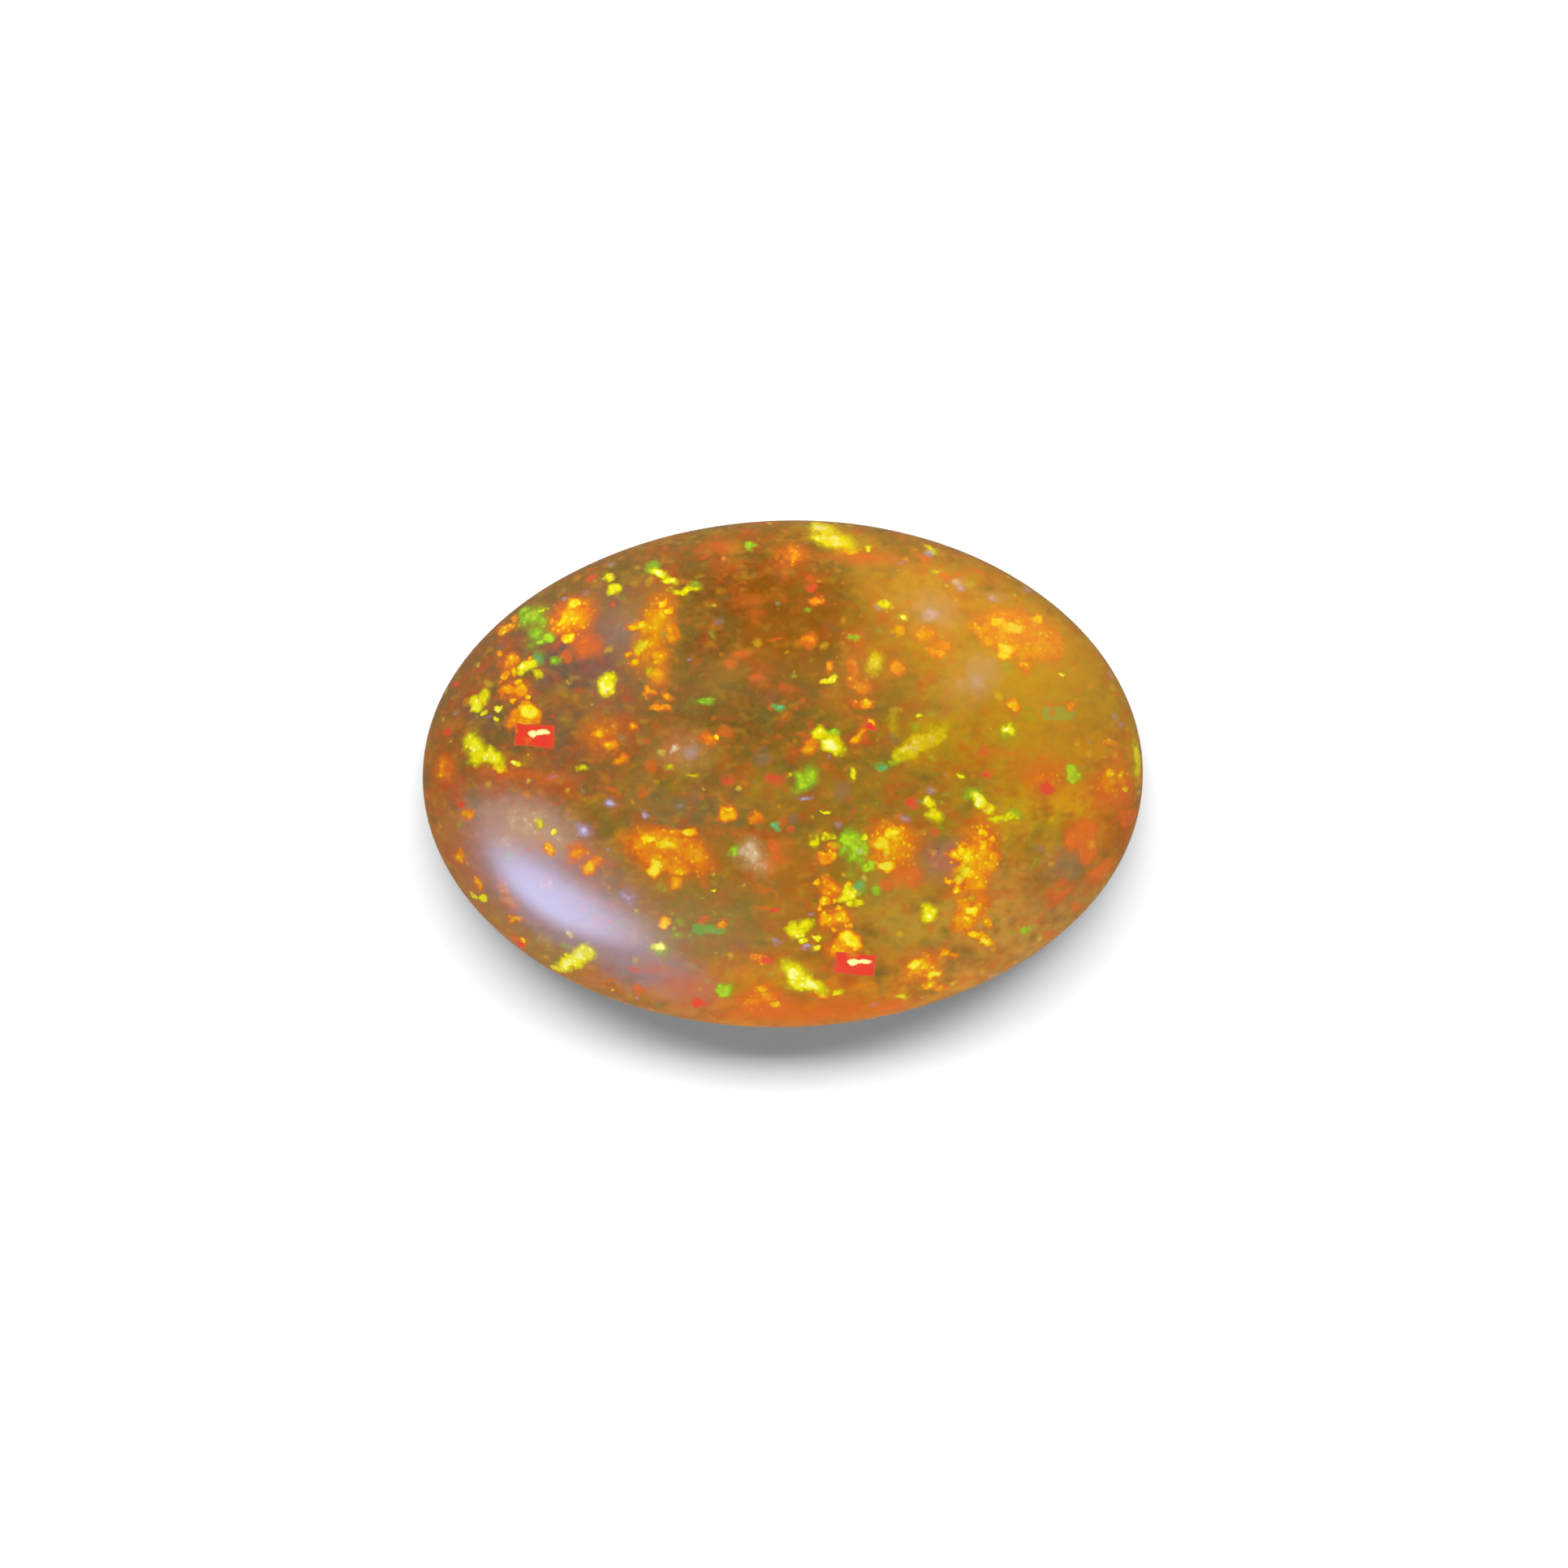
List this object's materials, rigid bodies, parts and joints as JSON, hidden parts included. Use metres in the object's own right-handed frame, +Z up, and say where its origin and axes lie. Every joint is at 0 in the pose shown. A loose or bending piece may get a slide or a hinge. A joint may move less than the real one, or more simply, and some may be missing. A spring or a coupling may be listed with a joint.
{
  "type": "opal cabochon",
  "caption": "Oval polished opal with a domed face, a bevelled girdle and a flat back, for setting in a bezel or resting on a surface.",
  "frame": {"origin": "middle of the flat back, under the centre of the oval", "axes": "+X along the oval's length, +Y across its width, +Z up out of the domed face"},
  "size_m": [0.0142, 0.01, 0.0046],
  "materials": {
    "opal": "high polish on the dome, satin on the back; honey-brown body with yellow, orange, red and green play-of-colour"
  },
  "bodies": {
    "root": {"cabochon": "opal"}
  },
  "joints": []
}
